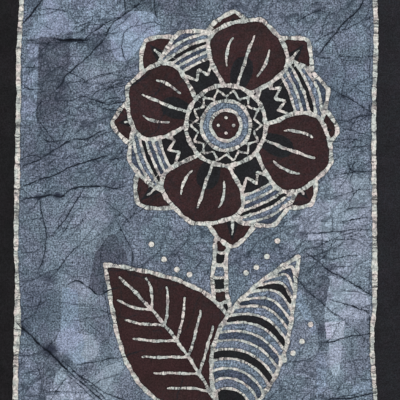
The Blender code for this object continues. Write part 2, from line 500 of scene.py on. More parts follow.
def near_line(points, line, reach):
    """The points near a line: which they are, how far they lie from its edge, and how far along it."""
    path, half = line["path"], line["half"]
    low, high = path.min(0) - reach - half.max(), path.max(0) + reach + half.max()
    near = np.flatnonzero(((points > low) & (points < high)).all(1))
    if line["closed"]:
        path, half = np.vstack([path, path[:1]]), np.append(half, half[0])
    start, along = path[:-1], np.diff(path, axis=0)
    offset = points[near][:, None] - start
    share = np.clip((offset * along).sum(2) / np.maximum((along**2).sum(1), 1e-9), 0, 1)
    gap = np.hypot(*(offset - share[..., None] * along).transpose(2, 0, 1))
    gap -= half[:-1] + share * np.diff(half)
    best = gap.argmin(1)
    row = np.arange(len(near))
    return near, gap[row, best], line["start"] + (best + share[row, best]) * STEP


def line_fields(points, lines, reach):
    """For each point, how far it lies from the nearest line's edge, and how far along that line."""
    gaps, places = np.full(len(points), reach), np.zeros(len(points))
    for line in lines:
        near, gap, place = near_line(points, line, reach)
        closer = gap < gaps[near]
        gaps[near[closer]], places[near[closer]] = gap[closer], place[closer]
    return gaps, places


class Drawing:
    """Wax lines, dye areas and veins on the flat cut, in the order in which they are laid."""

    def __init__(self):
        self.waxes, self.areas, self.veins, self.loose = [], [], [], []
        self.count = 0

    def line(self, points, half, closed=False, bend=True, shake=0.6, taper=0.0, uneven=0.32):
        """A line with an uneven width, ready to be laid as wax or as a vein."""
        self.count += 1
        path = curved(points, closed) if bend else np.asarray(points, float)
        path = resampled(path, STEP, closed)
        if shake:
            path = shaky(path, shake, 34.0, self.count)
        place = np.arange(len(path)) * STEP
        half = half * (1 + uneven * ripple(place, 21.0, self.count + 500))
        if taper:
            ends = np.minimum(place, place[-1] - place)
            half = half * (1 - taper * (1 - smooth_step(ends, 0, 14)))
        return dict(path=path, half=half, closed=closed, start=self.count * 71.0)

    def wax(self, points, half, **how):
        """A line of wax over what is there."""
        self.waxes.append(self.line(points, half, **how))

    def vein(self, points, half, depth=0.0, **how):
        """A dark vein with thin ends, and a crease where it has a depth."""
        line = self.line(points, half, shake=0.8, taper=0.7, **how)
        self.veins.append(dict(line, depth=depth))

    def dot(self, centre, radius):
        """A drop of wax, with a ring of mesh points to keep it round."""
        centre = np.asarray(centre, float)
        turn = np.linspace(0, 2 * math.pi, 10, endpoint=False)
        self.loose.append(centre + radius * np.column_stack([np.cos(turn), np.sin(turn)]))
        path = np.vstack([centre, centre + (0.2, 0)])
        self.waxes.append(dict(path=path, half=np.full(2, radius), closed=False, start=UNCRACKED))

    def tint(self, loop, colour, cover=1.0):
        """A dyed area. Without a colour, the ground shows."""
        self.areas.append((loop, colour, cover))

    def area(self, loop, colour):
        """A dyed area that hides the lines drawn there before."""
        loop = np.asarray(loop, float)
        self.waxes = [part for line in self.waxes for part in outside_parts(line, loop)]
        self.tint(loop, colour)

    def shape(self, points, colour, half=BOLD, bend=True):
        """A dyed area inside a closed wax line."""
        line = self.line(points, half, closed=True, bend=bend)
        self.area(line["path"], colour)
        self.waxes.append(line)


def outside_parts(line, loop):
    """The parts of a line that a closed loop leaves uncovered."""
    path, half = line["path"], line["half"]
    hidden = inside(path, loop)
    if not hidden.any():
        return [line]
    if hidden.all():
        return []
    if line["closed"]:
        turn = int(np.flatnonzero(hidden)[0])
        path, half, hidden = np.roll(path, -turn, 0), np.roll(half, -turn), np.roll(hidden, -turn)
    cuts = np.flatnonzero(np.diff(hidden.astype(int))) + 1
    pieces = np.split(np.arange(len(path)), cuts)
    return [
        dict(line, path=path[piece], half=half[piece], closed=False)
        for piece in pieces
        if len(piece) > 1 and not hidden[piece[0]]
    ]


class Leaf:
    """A leaf or petal between its base and its tip."""

    def __init__(self, base, tip, width, bow=0.0, widest=0.42, blunt=1.0):
        self.base = np.asarray(base, float)
        self.along = np.asarray(tip, float) - self.base
        self.side = np.array([-self.along[1], self.along[0]]) / np.hypot(*self.along)
        self.width, self.bow, self.blunt = width, bow, blunt
        self.power = math.log(0.5) / math.log(widest)

    def at(self, share, across):
        """The point at a share of the length, and a share of the half width from -1 to 1."""
        share = np.asarray(share, float)
        belly = np.abs(np.sin(math.pi * np.clip(share, 0, 1) ** self.power)) ** self.blunt
        slip = 4 * self.bow * share * (1 - share) + across * self.width / 2 * belly
        return self.base + self.along * share[..., None] + self.side * slip[..., None]

    def outline(self):
        """The closed edge, with its points closer towards base and tip."""
        share = (1 - np.cos(np.linspace(0, math.pi, 26))) / 2
        there, back = self.at(share, 1.0), self.at(share[::-1], -1.0)
        return np.vstack([there, back[1:-1]])

    def middle(self, low=0.06, high=0.9):
        """The middle line between two shares of the length."""
        return self.at(np.linspace(low, high, 9), 0.0)

    def rib(self, share, lean, reach, side):
        """A side rib from the middle line towards the edge."""
        steps = np.linspace(0, 1, 5)
        return self.at(share + lean * steps, side * reach * steps)

    def band(self, share, lean):
        """A line across the leaf from edge to edge, bowed towards the tip."""
        across = np.linspace(-1, 1, 11)
        return self.at(share + lean * (1 - across**2), across)

    def strip(self, share, after, lean):
        """The area between two bands."""
        return np.vstack([self.band(share, lean), self.band(after, lean)[::-1]])

    def heart(self, reach, half):
        """A rounded area at the base, this far along and this wide as shares of the leaf."""
        share = np.linspace(0.0, reach, 12)
        wide = half * np.sqrt(1 - (share / reach) ** 2)
        return np.vstack([self.at(share, wide), self.at(share[::-1], -wide[::-1])])


def ribbed_leaf(drawing, leaf, colour, ribs):
    """A dark leaf with a middle line and side ribs."""
    drawing.shape(leaf.outline(), colour, bend=False)
    drawing.wax(leaf.middle(), FINE * 1.3, taper=0.35)
    for share in np.linspace(0.14, 0.66, ribs):
        for side in (-1, 1):
            drawing.wax(leaf.rib(share, 0.15, 0.68, side), FINE * 1.1, taper=0.3)


def banded_leaf(drawing, leaf, colours, bands, lean=0.07):
    """A leaf crossed by bands, each in the next colour, with a wax line between them."""
    outline = drawing.line(leaf.outline(), BOLD, closed=True, bend=False)
    drawing.area(outline["path"], colours[bands % len(colours)])
    places = [0.0, *np.linspace(0.12, 0.86, bands)]
    for number, (share, after) in enumerate(zip(places, places[1:])):
        drawing.tint(leaf.strip(share, after, lean), colours[number % len(colours)])
    for share in places[1:]:
        drawing.wax(leaf.band(share, lean), FINE, shake=0.3)
    drawing.waxes.append(outline)


def zigzag(first, second):
    """Points that go back and forth between two lines of equal length."""
    points = np.array(first, float)
    points[1::2] = np.asarray(second, float)[1::2]
    return points


def circle(centre, radius, count=40):
    """Even points round a centre."""
    turn = np.linspace(0, 2 * math.pi, count, endpoint=False)
    return np.asarray(centre, float) + radius * np.column_stack([np.cos(turn), np.sin(turn)])


def draw_stem(drawing):
    """The banded stem, from the big flower down to the lower border."""
    path = resampled(curved(STEM), STEM_STEP, False)
    ahead = np.gradient(path, axis=0)
    side = np.column_stack([-ahead[:, 1], ahead[:, 0]]) / np.hypot(*ahead.T)[:, None]
    swell = STEM_HALF + 1.2 * ripple(np.arange(len(path)) * STEM_STEP, 90.0, 3)[:, None]
    left, right = path + side * swell, path - side * swell
    drawing.shape(np.vstack([left, right[::-1]]), BLACK, bend=False)
    step = 5
    for number, start in enumerate(range(2, len(path) - step - 1, step)):
        piece = slice(start, start + step + 1)
        loop = np.vstack([left[piece], right[piece][::-1]])
        drawing.tint(loop, (BAND_BLUE, BLACK, MAROON, BLACK)[number % 4])
        drawing.wax([left[start], path[start] + (0, 1.5), right[start]], FINE * 1.1, shake=0.2)


def draw_leaves(drawing):
    """The four leaves on the stem."""
    stripes = (BLACK, BAND_BLUE, BAND_SLATE, BAND_BLUE)
    banded_leaf(drawing, Leaf((30, 664), (-112, 586), 68, 12), stripes, 11)
    ribbed_leaf(drawing, Leaf((34, 668), (154, 566), 82, -12), MAROON, 5)
    ribbed_leaf(drawing, Leaf((32, 566), (-110, 386), 134, 12), MAROON, 6)
    banded_leaf(drawing, Leaf((38, 576), (124, 376), 84, -12), stripes, 15)


def draw_hind_petal(drawing, petal):
    """A dark red petal with a black heart and a short middle line."""
    drawing.shape(petal.outline(), MAROON, bend=False)
    drawing.tint(petal.heart(0.94, 0.4), BLACK)
    drawing.wax(petal.at(np.linspace(0.55, 0.86, 5), 0.0), FINE * 1.2, taper=0.3)


def draw_striped_petal(drawing, petal):
    """A petal in blue stripes, with a black band that holds a zigzag."""
    outline = drawing.line(petal.outline(), BOLD, closed=True, bend=False)
    drawing.area(outline["path"], BLACK)
    lean, places = 0.06, (0.50, 0.58, 0.66, 0.74, 0.83, 0.99)
    stripes = (BAND_BLUE, BAND_SLATE, BLACK, BAND_BLUE, BAND_SLATE)
    for colour, share, after in zip(stripes, places, places[1:]):
        drawing.tint(petal.strip(share, after, lean), colour)
    teeth = zigzag(petal.band(0.31, lean), petal.band(0.43, lean))
    drawing.wax(teeth, FINE * 1.1, bend=False, shake=0.2)
    for share in places[:-1]:
        drawing.wax(petal.band(share, lean), FINE * 1.1, shake=0.3)
    drawing.waxes.append(outline)


def draw_red_petal(drawing, petal):
    """A dark red petal with a black heart, a middle line and two short ones."""
    drawing.shape(petal.outline(), MAROON, bend=False)
    drawing.tint(petal.heart(0.56, 0.46), BLACK)
    drawing.wax(petal.at(np.linspace(0.2, 0.8, 7), 0.0), FINE * 1.25, taper=0.35)
    for side in (-1, 1):
        drawing.wax(petal.at(np.linspace(0.38, 0.70, 5), side * 0.5), FINE * 1.2, taper=0.35)


def draw_flower(drawing, centre, radius):
    """A round flower: hind petals, striped ones, dark red ones in front, and a ringed eye."""
    centre = np.asarray(centre, float)
    chance = np.random.default_rng(11)
    rows = (
        (draw_hind_petal, range(1, 16, 2), 1.0, 0.50),
        (draw_striped_petal, range(2, 16, 4), 0.91, 0.66),
        (draw_red_petal, range(0, 16, 4), 0.92, 0.70),
    )
    for draw, numbers, reach, wide in rows:
        for number in numbers:
            turn = math.pi / 8 * (number + 1) + chance.uniform(-0.07, 0.07)
            out = np.array([math.cos(turn), math.sin(turn)])
            tip = centre + radius * reach * chance.uniform(0.95, 1.04) * out
            width, bow = radius * wide * chance.uniform(0.95, 1.06), chance.uniform(-4, 4)
            draw(drawing, Leaf(centre + 0.2 * radius * out, tip, width, bow, 0.6, 0.8))
    drawing.shape(circle(centre, EYE * radius), BLACK)
    teeth = 28
    drawing.wax(
        zigzag(circle(centre, TEETH_OUT * radius, teeth), circle(centre, TEETH_IN * radius, teeth)),
        FINE * 0.8, closed=True, bend=False, shake=0.2,
    )
    drawing.shape(circle(centre, EYE_BLUE * radius), BAND_BLUE, half=BOLD * 0.85)
    drawing.shape(circle(centre, EYE_RED * radius, 24), MAROON, half=BOLD * 0.8)
    for spot in circle(centre, EYE_DROPS * radius, 4):
        drawing.dot(spot, 1.9)


def draw_seeds(drawing):
    """Rows of wax drops beside the leaves."""
    for start, end, count in SEED_ROWS:
        for share in np.linspace(0, 1, count):
            bow = 7 * math.sin(math.pi * share)
            spot = np.asarray(start) * (1 - share) + np.asarray(end) * share + (0, bow)
            drawing.dot(spot, SEED_RADIUS)


def draw_borders(drawing):
    """The four drawn lines, and the blue ground inside them."""
    sides = {
        "left": curved(LEFT_LINE), "bottom": curved(BOTTOM_LINE),
        "right": curved(RIGHT_LINE)[::-1], "top": curved(TOP_LINE)[::-1],
    }
    lines = [drawing.line(path, BOLD * 1.16, bend=False, shake=0.3, uneven=0.2) for path in sides.values()]
    for line, swells in ((lines[0], LEFT_SWELLS), (lines[2], RIGHT_SWELLS)):
        down = line["path"][:, 1]
        bells = [change * np.exp(-(((down - place) / half) ** 2)) for place, change, half in swells]
        line["half"] = line["half"] * (1 + np.sum(bells, axis=0))
    drawing.area(np.vstack([line["path"] for line in lines]), None)
    return lines


def draw_patches(drawing):
    """The brush patches, each with a slightly shaky edge."""
    for colour, cover, *points in PATCHES:
        drawing.count += 1
        loop = shaky(resampled(points, STEP, True), 0.5, 19.0, drawing.count)
        drawing.tint(loop, colour, cover)


def wandering_vein(drawing, chance, point, heading, length, half):
    """A vein that wanders from a point, with a few side branches."""
    points = [np.asarray(point, float)]
    while length > 0:
        heading += chance.normal(0, 0.22)
        step = chance.uniform(7, 15)
        points.append(points[-1] + step * np.array([math.cos(heading), math.sin(heading)]))
        length -= step
        if length > 20 and half > 0.2 and chance.random() < 0.3:
            turn = heading + chance.choice((-1, 1)) * chance.uniform(0.3, 0.9)
            wandering_vein(drawing, chance, points[-1], turn, chance.uniform(12, 34), half * 0.6)
    points = np.clip(points, *VEIN_LIMITS)
    drawing.vein(points, half, 0.15)


def draw_veins(drawing):
    """The veins read off the picture, and wandering ones between them and where it shows none."""
    for half, depth, *points in VEINS:
        drawing.vein(points, half, depth)
    chance = np.random.default_rng(29)
    for low, high, count in VEIN_REGIONS:
        for number in range(count):
            heading = -0.55 + chance.normal(0, 0.35) if chance.random() < 0.62 else chance.uniform(0, 3.1)
            length, half = chance.uniform(24, 90), chance.uniform(0.10, 0.32)
            wandering_vein(drawing, chance, chance.uniform(low, high), heading, length, half)


def drawn_cloth():
    """The whole drawing, from the ground up."""
    drawing = Drawing()
    borders = draw_borders(drawing)
    draw_patches(drawing)
    draw_seeds(drawing)
    draw_stem(drawing)
    draw_leaves(drawing)
    draw_flower(drawing, FLOWER_MIDDLE, FLOWER_RADIUS)
    drawing.waxes += borders
    draw_veins(drawing)
    return drawing


def rectangle(inset):
    """The corners of a rectangle on the cut, parallel to its edges."""
    x, top, bottom = WIDTH / 2 - inset, inset, HEIGHT - inset
    return [(-x, top), (-x, bottom), (x, bottom), (x, top)]


def frame_line(inset):
    """Even points round such a rectangle."""
    return resampled(rectangle(inset), FRAME_STEP, True)


def triangulated(drawing):
    """Points and triangles of the flat cut, with every drawn line as an edge of the mesh."""
    rim = HEM / 2
    fixed = [(frame_line(inset), True) for inset in (rim, STITCH_INSET, HEM_WIDTH, HEM_WIDTH + HEM_STEP)]
    fixed += [(line["path"], line["closed"]) for line in drawing.waxes + drawing.veins]
    fixed += [(loop, True) for loop, _, _ in drawing.areas]
    points, edges = [], []
    for path, closed in fixed:
        first = len(points)
        points += path.tolist()
        edges += [(first + i, first + i + 1) for i in range(len(path) - 1)]
        if closed:
            edges.append((first + len(path) - 1, first))
    for ring in drawing.loose:
        points += ring.tolist()

    tree = KDTree(len(points))
    for number, (x, y) in enumerate(points):
        tree.insert((x, y, 0), number)
    tree.balance()
    row_step = GRID * math.sqrt(3) / 2
    for row in range(1, int((HEIGHT - 2 * rim) / row_step)):
        down = rim + row * row_step
        for column in range(1, int((WIDTH - 2 * rim) / GRID)):
            across = -WIDTH / 2 + rim + (column + 0.5 * (row % 2)) * GRID
            if tree.find((across, down, 0))[2] > CLEARANCE * GRID:
                points.append([across, down])

    vertices, triangles = filled(points, edges)
    # A triangle whose corners hide a gap between lines gets a point in its middle.
    near, hidden = 1.0, 0.45
    centres = vertices[triangles].mean(1)
    gaps = np.zeros(len(centres), bool)
    for lines in (drawing.waxes, drawing.veins):
        true, _ = line_fields(centres, lines, FIELD_REACH)
        shown = line_fields(vertices, lines, FIELD_REACH)[0][triangles].mean(1)
        gaps |= (shown < near) & (true - shown > hidden)
    return filled(points + centres[gaps].tolist(), edges)


def filled(points, edges):
    """A triangulation through the points that keeps the edges."""
    flat = [Vector((x, -y)) for x, y in points]
    found = delaunay_2d_cdt(flat, edges, [], 0, MERGED, False)
    return np.array([tuple(v) for v in found[0]]) * (1, -1), np.array(found[2])


def relief(points, drawing):
    """Small forward and backward moves of the face: creases, slack cloth and the puckered hem."""
    x, y = points.T
    slack = SLACK_BROAD * np.sin(x / 19 + 0.9 * np.sin(y / 47)) * np.sin(y / 31 + 1.3)
    slack += SLACK_SMALL * np.sin((x + y) / 13.5 + 1.1 * np.sin(x / 36)) * np.sin((x - 1.4 * y) / 29)
    crease = np.zeros(len(points))
    for number, line in enumerate(drawing.veins):
        if line["depth"]:
            near, gap, _ = near_line(points, line, CREASE_REACH)
            gap = np.clip((gap + line["half"].max()) / CREASE_HALF, 0, 1)
            crease[near] += (-1 if number % 3 else 1) * line["depth"] * (1 - gap) ** 2
    rim = edge_inset(points)
    along = np.where(WIDTH / 2 - abs(x) < np.minimum(y, HEIGHT - y), y, x)
    pucker = PUCKER * ripple(along, PUCKER_WAVE, 77) * (1 - smooth_step(rim, 8, 24))
    groove = -GROOVE * np.clip(1 - abs(rim - STITCH_INSET) / GROOVE_HALF, 0, 1)
    return slack * smooth_step(rim, 0, 30) + crease + pucker + groove


def edge_inset(points):
    """How far places on the cut lie from its nearest edge."""
    x, y = points.T
    return np.minimum(WIDTH / 2 - abs(x), np.minimum(y, HEIGHT - y))


def hung(points, forward):
    """The cut's places as they hang, in metres, standing forward by this many millimetres."""
    x, y = points.T
    share = y / HEIGHT
    drawn_in = 1 - WAIST / (WIDTH / 2) * np.sin(math.pi * share)
    sag = HEM_SAG * share * np.cos(math.pi * x / WIDTH)
    return np.column_stack([x * drawn_in, -forward, -y - sag]) * MM


def rim_order(triangles):
    """The outer points in order, anticlockwise as seen from the front."""
    edges = np.vstack([triangles[:, [0, 1]], triangles[:, [1, 2]], triangles[:, [2, 0]]])
    pairs = set(map(tuple, edges.tolist()))
    follow = {a: b for a, b in pairs if (b, a) not in pairs}
    start = min(follow)
    order = [start]
    while follow[order[-1]] != start:
        order.append(follow[order[-1]])
    return np.array(order)


def closed_sheet(points, triangles, drawing):
    """Face, back and half-round rim as one closed mesh. Returns its points, faces and flat places."""
    face_out = HEM / 2 + fold_forward(*points.T) + relief(points, drawing)
    thick = np.where(edge_inset(points) < HEM_WIDTH + 0.1, HEM, SHEET)
    front, back = hung(points, face_out), hung(points, face_out - thick)
    order = rim_order(triangles)
    ahead = points[np.roll(order, -1)] - points[np.roll(order, 1)]
    out = np.column_stack([-ahead[:, 1], np.zeros(len(order)), -ahead[:, 0]])
    out /= np.linalg.norm(out, axis=1)[:, None]
    middle = (front[order] + back[order]) / 2
    toward = (back[order] - front[order]) / 2
    rims = []
    for angle in map(math.radians, RIM_ANGLES):
        rims.append(middle + toward * math.sin(angle) + out * (math.cos(angle) * HEM / 2 * MM))

    count, loop = len(points), len(order)
    rings = [order] + [2 * count + k * loop + np.arange(loop) for k in range(len(rims))] + [order + count]
    faces = [triangles, triangles[:, ::-1] + count]
    for near, far in zip(rings, rings[1:]):
        ahead_near, ahead_far = np.roll(near, -1), np.roll(far, -1)
        faces.append(np.column_stack([near, far, ahead_far]))
        faces.append(np.column_stack([near, ahead_far, ahead_near]))
    vertices = np.vstack([front, back, *rims])
    flat = np.vstack([points, points, *[points[order]] * len(rims)])
    return vertices, np.vstack(faces), flat


def area_colours(centres, drawing):
    """The dye and cover of each triangle: the margin, painted lighter towards the right, then every area laid
    over it.
    """
    # Painted light: the margin's black runs lighter from left to right.
    share = (centres[:, :1] / WIDTH + 0.5).clip(0, 1)
    colours = MARGIN_DIM_LEFT + (MARGIN_LIT_RIGHT - MARGIN_DIM_LEFT) * share
    covers = np.ones(len(centres))
    for loop, colour, cover in drawing.areas:
        low, high = loop.min(0), loop.max(0)
        near = np.flatnonzero(((centres > low) & (centres < high)).all(1))
        hit = near[inside(centres[near], loop)]
        if colour is None:
            covers[hit] = 0.0
            continue
        below = covers[hit] * (1 - cover)
        covers[hit] = below + cover
        colours[hit] = (colour * cover + colours[hit] * below[:, None]) / covers[hit][:, None]
    return np.column_stack([colours, covers])


def linked_mesh(name, vertices, faces, material):
    """A smooth-shaded object in the scene, of this name."""
    mesh = bpy.data.meshes.new(name)
    mesh.from_pydata(vertices.tolist(), [], faces)
    mesh.shade_smooth()
    mesh.materials.append(material)
    thing = bpy.data.objects.new(name, mesh)
    bpy.context.scene.collection.objects.link(thing)
    return thing


def store(mesh, name, kind, domain, field, values):
    """Keeps values on the mesh, for its material to read."""
    layer = mesh.attributes.new(name, kind, domain)
    layer.data.foreach_set(field, np.ascontiguousarray(values, np.float32).ravel())


def lay_out_for_bake(mesh, points, faces):
    """A map with the face and the back side by side, each as it lies flat, the face a little larger."""
    layer = mesh.uv_layers.new(name="OFBake")
    corners = points[faces]
    normals = np.cross(corners[:, 1] - corners[:, 0], corners[:, 2] - corners[:, 0])
    behind = normals[:, 1:2] > 0
    gap, face_scale, back_scale = 0.007, 1.18, 0.755
    across, up = corners[..., 0] + WIDTH * MM / 2, corners[..., 2] + HEIGHT * MM
    u = np.where(behind, 1 - gap - across * back_scale, gap + across * face_scale)
    v = np.where(behind, up * back_scale, up * face_scale) + gap
    layer.data.foreach_set("uv", np.ascontiguousarray(np.stack([u, v], -1), np.float32).ravel())


def make_sheet(drawing):
    """The dressed sheet, with the drawing as fields of its mesh."""
    points, triangles = triangulated(drawing)
    vertices, faces, flat = closed_sheet(points, triangles, drawing)
    sheet = linked_mesh("batik_sheet", vertices, faces.tolist(), cloth_material())
    mesh = sheet.data
    wax, along = line_fields(points, drawing.waxes, FIELD_REACH)
    vein, _ = line_fields(points, drawing.veins, FIELD_REACH)
    order = rim_order(triangles)
    for name, values in (("wax", wax), ("along", along), ("vein", vein)):
        spread = np.concatenate([values, values, *[values[order]] * len(RIM_ANGLES)])
        store(mesh, name, "FLOAT", "POINT", "value", spread)
    behind = np.zeros(len(flat))
    behind[len(points):2 * len(points)] = 1.0
    store(mesh, "cut", "FLOAT_VECTOR", "POINT", "vector", np.column_stack([flat, behind]))
    dyes = area_colours(flat[faces].mean(1), drawing)
    store(mesh, "dye", "FLOAT_COLOR", "FACE", "color", dyes)
    store(mesh, "ground", "FLOAT_COLOR", "POINT", "color", ground_colours(flat))
    for name, spots in (("blot", BLOTS), ("calm", CALM_SPOTS)):
        strongest = np.max([soft_spot(flat, *spot) for spot in spots], axis=0)
        store(mesh, name, "FLOAT", "POINT", "value", strongest)
    # Distance on the back from the hem's folded edge, for the painted shadow line along it.
    turned = np.where(behind > 0, edge_inset(flat) - HEM_WIDTH - HEM_STEP / 2, HEIGHT)
    store(mesh, "turned", "FLOAT", "POINT", "value", turned)
    lay_out_for_bake(mesh, vertices, faces)
    return sheet


def soft_spot(points, cover, x, y, wide, high):
    """Cover from 0 to 1 that fades away round a middle."""
    gap = np.hypot((points[:, 0] - x) / wide, (points[:, 1] - y) / high)
    return cover * (1 - smooth_step(gap, 0.4, 1.5))


def ground_colours(points):
    """The ground's dye with its lighter and darker clouds."""
    colours = np.tile(GROUND, (len(points), 1))
    for colour, *spot in CLOUDS:
        colours += (colour - colours) * soft_spot(points, *spot)[:, None]
    return np.column_stack([colours, np.ones(len(points))])


class Shader:
    """A material's nodes, built one call at a time."""

    def __init__(self, name):
        self.material = bpy.data.materials.new(name)
        self.material.use_nodes = True
        self.tree = self.material.node_tree
        self.surface = self.tree.nodes["Principled BSDF"]

    def node(self, kind, **settings):
        """A new node with these settings."""
        node = self.tree.nodes.new(kind)
        for key, value in settings.items():
            setattr(node, key, value)
        return node

    def feed(self, socket, value):
        """Links another node's output to a socket, or sets the socket's own value."""
        if isinstance(value, bpy.types.NodeSocket):
            self.tree.links.new(value, socket)
        elif value is not None:
            socket.default_value = value

    def math(self, operation, *values):
        node = self.node("ShaderNodeMath", operation=operation)
        for socket, value in zip(node.inputs, values):
            self.feed(socket, value)
        return node.outputs[0]

    def times(self, first, second):
        return self.math("MULTIPLY", first, second)

    def plus(self, first, second):
        return self.math("ADD", first, second)

    def rest(self, share):
        """What a share leaves of 1."""
        return self.math("SUBTRACT", 1.0, share)

    def vector(self, operation, *values):
        node = self.node("ShaderNodeVectorMath", operation=operation)
        for socket, value in zip(node.inputs, values):
            self.feed(socket, value)
        return node.outputs[0]

    def attribute(self, name, output):
        return self.node("ShaderNodeAttribute", attribute_name=name).outputs[output]

    def noise(self, place, size, detail=2.0, rough=0.5, stretch=(1.0, 1.0), shift=0.0):
        """Noise from 0 to 1 whose features are about size millimetres, longer where stretched."""
        scale = (1 / (size * stretch[0]), 1 / (size * stretch[1]), 1.0)
        moved = self.vector("ADD", self.vector("MULTIPLY", place, scale), (shift, shift * 0.7, 0.0))
        return self.flat_noise(moved, detail, rough).outputs[0]

    def flat_noise(self, place, detail, rough):
        """A noise node that reads places on the cut."""
        node = self.node("ShaderNodeTexNoise", noise_dimensions="2D")
        self.feed(node.inputs["Vector"], place)
        for name, number in (("Scale", 1.0), ("Detail", detail), ("Roughness", rough)):
            node.inputs[name].default_value = number
        return node

    def wander(self, place, size, amount):
        """A sideways push that changes over this many millimetres."""
        node = self.flat_noise(self.vector("MULTIPLY", place, (1 / size, 1 / size, 0.0)), 2.0, 0.5)
        centred = self.vector("SUBTRACT", node.outputs["Color"], (0.5, 0.5, 0.5))
        return self.vector("MULTIPLY", centred, (amount, amount, 0.0))

    def cracks(self, place, size):
        """Distance in millimetres from the edges of uneven cells of about this size."""
        node = self.node("ShaderNodeTexVoronoi", voronoi_dimensions="2D", feature="DISTANCE_TO_EDGE")
        self.feed(node.inputs["Vector"], place)
        node.inputs["Scale"].default_value = 1 / size
        return self.math("MULTIPLY", node.outputs["Distance"], size)

    def ramp(self, value, low, high, start=0.0, end=1.0):
        """start up to low, end from high, smooth between them."""
        node = self.node("ShaderNodeMapRange", interpolation_type="SMOOTHSTEP")
        for name, number in (("Value", value), ("From Min", low), ("From Max", high), ("To Min", start),
                             ("To Max", end)):
            self.feed(node.inputs[name], number)
        return node.outputs["Result"]

    def mix(self, share, first, second, blend="MIX"):
        """Two colours, the second laid over the first by a share."""
        node = self.node("ShaderNodeMix", data_type="RGBA", blend_type=blend)
        self.feed(node.inputs["Factor"], share)
        for socket, colour in ((node.inputs[6], first), (node.inputs[7], second)):
            self.feed(socket, (*colour, 1.0) if isinstance(colour, np.ndarray) else colour)
        return node.outputs[2]

    def scaled(self, colour, share):
        """The colour made lighter or darker by a factor."""
        node = self.node("ShaderNodeVectorMath", operation="SCALE")
        self.feed(node.inputs[0], colour)
        self.feed(node.inputs["Scale"], share)
        return node.outputs[0]


# Hair cracks in the ground: direction in degrees, spacing, how much longer than wide, half width,
# strength, and how much paler the painted highlight along the crest next to each is.
HAIRS = (
    (-36, 24.0, 4.0, 0.40, 1.00, 0.25),
    (-28, 15.0, 4.0, 0.36, 0.95, 0.25),
    (-62, 21.0, 4.0, 0.36, 0.90, 0.2),
    (30, 24.0, 4.0, 0.38, 0.90, 0.2),
    (-8, 13.0, 4.0, 0.32, 0.90, 0.3),
    (84, 16.0, 3.4, 0.32, 0.80, 0.3),
    (6, 7.5, 4.0, 0.26, 0.70, 0.3),
    (-48, 6.5, 4.0, 0.24, 0.62, 0.3),
    (44, 6.0, 4.0, 0.24, 0.62, 0.3),
)


def hair_cracks(s, place):
    """Long thin cracks in several directions, each set strong in some parts, and a painted highlight along
    the crest next to each.
    """
    dark, pale = None, None
    for number, (angle, spacing, stretch, half, strength, ridge_highlight) in enumerate(HAIRS):
        turned = s.node("ShaderNodeVectorRotate", rotation_type="Z_AXIS")
        s.feed(turned.inputs["Vector"], place)
        turned.inputs["Angle"].default_value = -math.radians(angle)
        value = s.noise(turned.outputs[0], spacing, 1.0, 0.4, (stretch, 1.0), shift=13.0 * number)
        width = 1.6 * half / spacing
        line = s.ramp(s.math("ABSOLUTE", s.math("SUBTRACT", value, 0.5)), 0.0, width, 1.0, 0.0)
        # Painted highlight: a paler line along the crest next to each crack, where a crease would catch the
        # light; pale gathers them.
        highlight_beside = s.math("ABSOLUTE", s.math("SUBTRACT", value, 0.5 + 1.7 * width))
        highlight_beside = s.ramp(highlight_beside, 0.0, width, 1.0, 0.0)
        patchy = s.ramp(s.noise(place, 20.0, 2.0, 0.6, shift=300.0 + 17.0 * number), 0.38, 0.54)
        line = s.times(s.times(line, patchy), strength)
        highlight_beside = s.times(s.times(highlight_beside, patchy), ridge_highlight)
        dark = line if dark is None else s.math("MAXIMUM", dark, line)
        pale = highlight_beside if pale is None else s.math("MAXIMUM", pale, highlight_beside)
    return dark, pale


def cloth_material():
    """Dyed cotton: mottled dye, crackle, veins and wax lines from the mesh's own fields."""
    s = Shader("dyed_cotton")
    place, vein = s.attribute("cut", "Vector"), s.attribute("vein", "Fac")
    areas = s.node("ShaderNodeAttribute", attribute_name="dye")
    dye = s.mix(areas.outputs["Alpha"], s.attribute("ground", "Color"), areas.outputs["Color"])
    loose = s.vector("ADD", place, s.wander(place, 9.0, 7.0))
    grain = s.noise(place, 1.9, 2.0, 0.7, shift=3.0)
    lively = liveliness(s, dye)
    ragged = s.ramp(s.noise(place, 3.4, 2.0, 0.6, shift=71.0), 0.25, 0.75, -0.24, 0.24)
    wax_edge = s.plus(s.attribute("wax", "Fac"), ragged)
    waxed = s.ramp(wax_edge, -0.25, 0.20, 1.0, 0.0)

    colour = mottled(s, place, dye, grain, lively)
    colour, crackle = crackled(s, place, loose, colour, lively)
    colour = soaked(s, place, colour, wax_edge, vein)
    colour = s.mix(waxed, colour, wax_colour(s, place, loose))
    crackle = s.times(crackle, s.rest(waxed))
    colour, line = inked_veins(s, place, colour, vein)
    colour = seen_behind(s, place, colour)

    s.feed(s.surface.inputs["Base Color"], colour)
    for name, number in (("Roughness", 0.92), ("Specular IOR Level", 0.10), ("Sheen Weight", 0.02),
                         ("Sheen Roughness", 0.6)):
        s.surface.inputs[name].default_value = number
    s.feed(s.surface.inputs["Normal"], fine_relief(s, place, grain, crackle, line))
    return s.material


def liveliness(s, dye):
    """How much mottling and crackle shows: most on middling dyes, less on the palest and the darkest."""
    light = s.node("ShaderNodeRGBToBW")
    s.feed(light.inputs[0], dye)
    pale = s.ramp(light.outputs[0], 0.22, 0.38, 1.0, 0.6)
    return s.times(pale, s.ramp(light.outputs[0], 0.02, 0.12, 0.45, 1.0))


